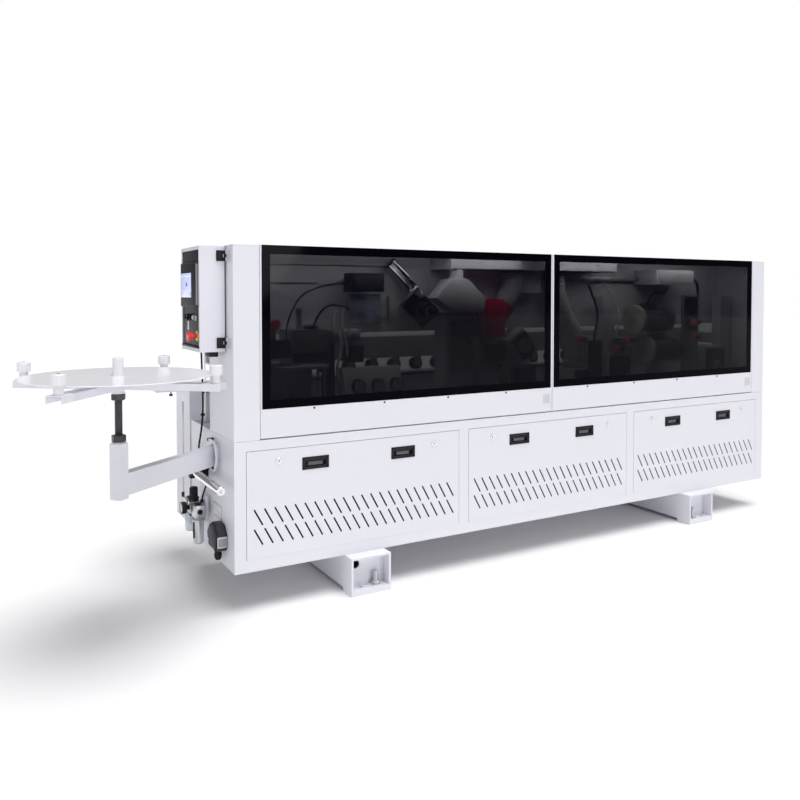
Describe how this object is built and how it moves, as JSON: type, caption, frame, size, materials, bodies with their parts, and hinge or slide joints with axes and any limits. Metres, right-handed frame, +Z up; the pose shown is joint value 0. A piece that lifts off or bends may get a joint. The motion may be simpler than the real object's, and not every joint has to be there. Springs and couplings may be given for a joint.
{
  "type": "edge banding machine",
  "caption": "Compact automatic edge banding machine: white cabinet on two foot beams, lift-up dark glass doors, swing-out control box and a tape reel on an arm.",
  "frame": {"origin": "floor level, centre of the four anchor holes in the foot pads", "axes": "+X along the machine from infeed to outfeed, +Y from the hood doors towards the board, +Z up"},
  "size_m": [4.5159, 1.512, 1.642],
  "materials": {
    "white_paint": "satin powder coat",
    "dark_glass": "tinted safety glass",
    "black_paint": "satin black",
    "bare_steel": "machined",
    "black_steel": "blackened thread",
    "chrome": "polished",
    "white_plastic": "moulded nylon",
    "clear_plastic": "clear acrylic",
    "dark_plastic": "moulded",
    "screen": "lit display",
    "red_plastic": "moulded",
    "rubber": "moulded rubber",
    "grey_cast": "painted casting",
    "chain_pad": "ribbed pads",
    "hose_fabric": "corrugated hose",
    "cotton": "stitched cotton discs",
    "clear_bowl": "clear bowl"
  },
  "bodies": {
    "machine_frame": {"foot_beam_left": "white_paint", "foot_beam_right": "white_paint", "levelling_screws": "bare_steel", "front_frame": "white_paint", "cabinet_panels": "white_paint", "machine_bed": "grey_cast", "hood_columns": "white_paint", "hood_panels": "white_paint", "hood_hinges": "bare_steel", "reel_arm": "white_paint", "reel_arm_fasteners": "black_steel", "control_box_hinges": "black_paint", "air_unit": "clear_bowl", "power_inlet": "dark_plastic", "guide_bar": "chrome", "outboard_support": "white_paint", "conveyor_track": "chain_pad", "beam_posts": "white_paint", "glue_unit": "black_paint", "end_trim_rail": "bare_steel", "trimming_unit": "white_paint", "buffing_motors": "black_paint", "extraction_hoods": "white_paint", "hoses_and_cables": "hose_fabric"},
    "left_door": {"hood_door_left": "white_paint", "door_glass_left": "dark_glass"},
    "right_door": {"hood_door_right": "white_paint", "door_glass_right": "dark_glass"},
    "reel_stand": {"reel_spindle": "black_steel", "reel_cross": "white_paint"},
    "reel_turntable": {"reel_disc": "clear_plastic", "reel_hub": "white_plastic"},
    "control_station": {"control_box": "white_paint", "control_panel": "black_paint", "touch_screen": "screen"},
    "emergency_stop": {"emergency_stop": "red_plastic"},
    "selector": {"selector_switch": "dark_plastic"},
    "start_button": {"start_button": "chrome"},
    "regulator_knob": {"regulator_knob": "dark_plastic"},
    "press": {"pressure_beam": "grey_cast", "pressure_rollers": "rubber"},
    "end_trimmer": {"end_trim_carriage": "grey_cast"},
    "upper_buffing_wheel": {"buffing_wheel_upper": "cotton"},
    "lower_buffing_wheel": {"buffing_wheel_lower": "cotton"},
    "left_panel": {"lower_panel_left": "white_paint", "pull_handles_left": "dark_plastic"},
    "panel_lock_left_left": {"panel_lock_left_left": "bare_steel"},
    "panel_lock_left_right": {"panel_lock_left_right": "bare_steel"},
    "centre_panel": {"lower_panel_centre": "white_paint", "pull_handles_centre": "dark_plastic"},
    "panel_lock_centre_left": {"panel_lock_centre_left": "bare_steel"},
    "panel_lock_centre_right": {"panel_lock_centre_right": "bare_steel"},
    "right_panel": {"lower_panel_right": "white_paint", "pull_handles_right": "dark_plastic"},
    "panel_lock_right_left": {"panel_lock_right_left": "bare_steel"},
    "panel_lock_right_right": {"panel_lock_right_right": "bare_steel"},
    "guide_roller_1": {"guide_roller_1": "white_plastic"},
    "guide_roller_2": {"guide_roller_2": "white_plastic"},
    "guide_roller_3": {"guide_roller_3": "white_plastic"},
    "guide_roller_4": {"guide_roller_4": "white_plastic"}
  },
  "joints": [
    {"name": "left_door_hinge", "type": "hinge", "parent": "machine_frame", "child": "left_door", "pos_m": [-1.68, -0.446, 1.629], "axis": [-1, 0, 0], "range_deg": [0, 85]},
    {"name": "right_door_hinge", "type": "hinge", "parent": "machine_frame", "child": "right_door", "pos_m": [0.011, -0.446, 1.629], "axis": [-1, 0, 0], "range_deg": [0, 85]},
    {"name": "reel_height", "type": "slide", "parent": "machine_frame", "child": "reel_stand", "axis": [0, 0, 1], "range_m": [-0.08, 0.06]},
    {"name": "reel_spin", "type": "hinge", "parent": "reel_stand", "child": "reel_turntable", "pos_m": [-2.302, -0.589, 1.12], "axis": [0, 0, 1], "continuous": true},
    {"name": "control_box_swing", "type": "hinge", "parent": "machine_frame", "child": "control_station", "pos_m": [-1.811, -0.397, 1.38], "axis": [0, 0, 1], "range_deg": [0, 90]},
    {"name": "emergency_stop_press", "type": "slide", "parent": "control_station", "child": "emergency_stop", "axis": [1, 0, 0], "range_m": [0, 0.005]},
    {"name": "selector_turn", "type": "hinge", "parent": "control_station", "child": "selector", "pos_m": [-1.921, -0.238, 1.318], "axis": [1, 0, 0], "range_deg": [-45, 45]},
    {"name": "start_button_press", "type": "slide", "parent": "control_station", "child": "start_button", "axis": [1, 0, 0], "range_m": [0, 0.004], "stiffness_N_per_m": 300},
    {"name": "regulator_turn", "type": "hinge", "parent": "machine_frame", "child": "regulator_knob", "pos_m": [-1.863, -0.031, 0.44], "axis": [0, 0, 1], "continuous": true},
    {"name": "press_height", "type": "slide", "parent": "machine_frame", "child": "press", "axis": [0, 0, 1], "range_m": [0, 0.045]},
    {"name": "end_trim_travel", "type": "slide", "parent": "machine_frame", "child": "end_trimmer", "axis": [0.7084, 0, -0.7058], "range_m": [-0.08, 0.015]},
    {"name": "upper_buffing_spin", "type": "hinge", "parent": "machine_frame", "child": "upper_buffing_wheel", "pos_m": [0.907, -0.234, 1.26], "axis": [1, 0, 0], "continuous": true},
    {"name": "lower_buffing_spin", "type": "hinge", "parent": "machine_frame", "child": "lower_buffing_wheel", "pos_m": [0.995, -0.234, 1.065], "axis": [1, 0, 0], "continuous": true},
    {"name": "left_panel_pull", "type": "slide", "parent": "machine_frame", "child": "left_panel", "axis": [0, -1, 0], "range_m": [0, 0.2]},
    {"name": "left_panel_lock_left_turn", "type": "hinge", "parent": "left_panel", "child": "panel_lock_left_left", "pos_m": [-1.594, -0.484, 0.667], "axis": [0, 1, 0], "range_deg": [0, 90]},
    {"name": "left_panel_lock_right_turn", "type": "hinge", "parent": "left_panel", "child": "panel_lock_left_right", "pos_m": [-0.765, -0.484, 0.667], "axis": [0, 1, 0], "range_deg": [0, 90]},
    {"name": "centre_panel_pull", "type": "slide", "parent": "machine_frame", "child": "centre_panel", "axis": [0, -1, 0], "range_m": [0, 0.2]},
    {"name": "centre_panel_lock_left_turn", "type": "hinge", "parent": "centre_panel", "child": "panel_lock_centre_left", "pos_m": [-0.399, -0.484, 0.667], "axis": [0, 1, 0], "range_deg": [0, 90]},
    {"name": "centre_panel_lock_right_turn", "type": "hinge", "parent": "centre_panel", "child": "panel_lock_centre_right", "pos_m": [0.43, -0.484, 0.667], "axis": [0, 1, 0], "range_deg": [0, 90]},
    {"name": "right_panel_pull", "type": "slide", "parent": "machine_frame", "child": "right_panel", "axis": [0, -1, 0], "range_m": [0, 0.2]},
    {"name": "right_panel_lock_left_turn", "type": "hinge", "parent": "right_panel", "child": "panel_lock_right_left", "pos_m": [0.796, -0.484, 0.667], "axis": [0, 1, 0], "range_deg": [0, 90]},
    {"name": "right_panel_lock_right_turn", "type": "hinge", "parent": "right_panel", "child": "panel_lock_right_right", "pos_m": [1.625, -0.484, 0.667], "axis": [0, 1, 0], "range_deg": [0, 90]},
    {"name": "guide_roller_1_spin", "type": "hinge", "parent": "reel_stand", "child": "guide_roller_1", "pos_m": [-2.05266, -0.26986, 1.11], "axis": [0, 0, 1], "continuous": true},
    {"name": "guide_roller_2_spin", "type": "hinge", "parent": "reel_stand", "child": "guide_roller_2", "pos_m": [-2.62114, -0.33966, 1.11], "axis": [0, 0, 1], "continuous": true},
    {"name": "guide_roller_3_spin", "type": "hinge", "parent": "reel_stand", "child": "guide_roller_3", "pos_m": [-2.55134, -0.90814, 1.11], "axis": [0, 0, 1], "continuous": true},
    {"name": "guide_roller_4_spin", "type": "hinge", "parent": "reel_stand", "child": "guide_roller_4", "pos_m": [-1.98286, -0.83834, 1.11], "axis": [0, 0, 1], "continuous": true}
  ]
}
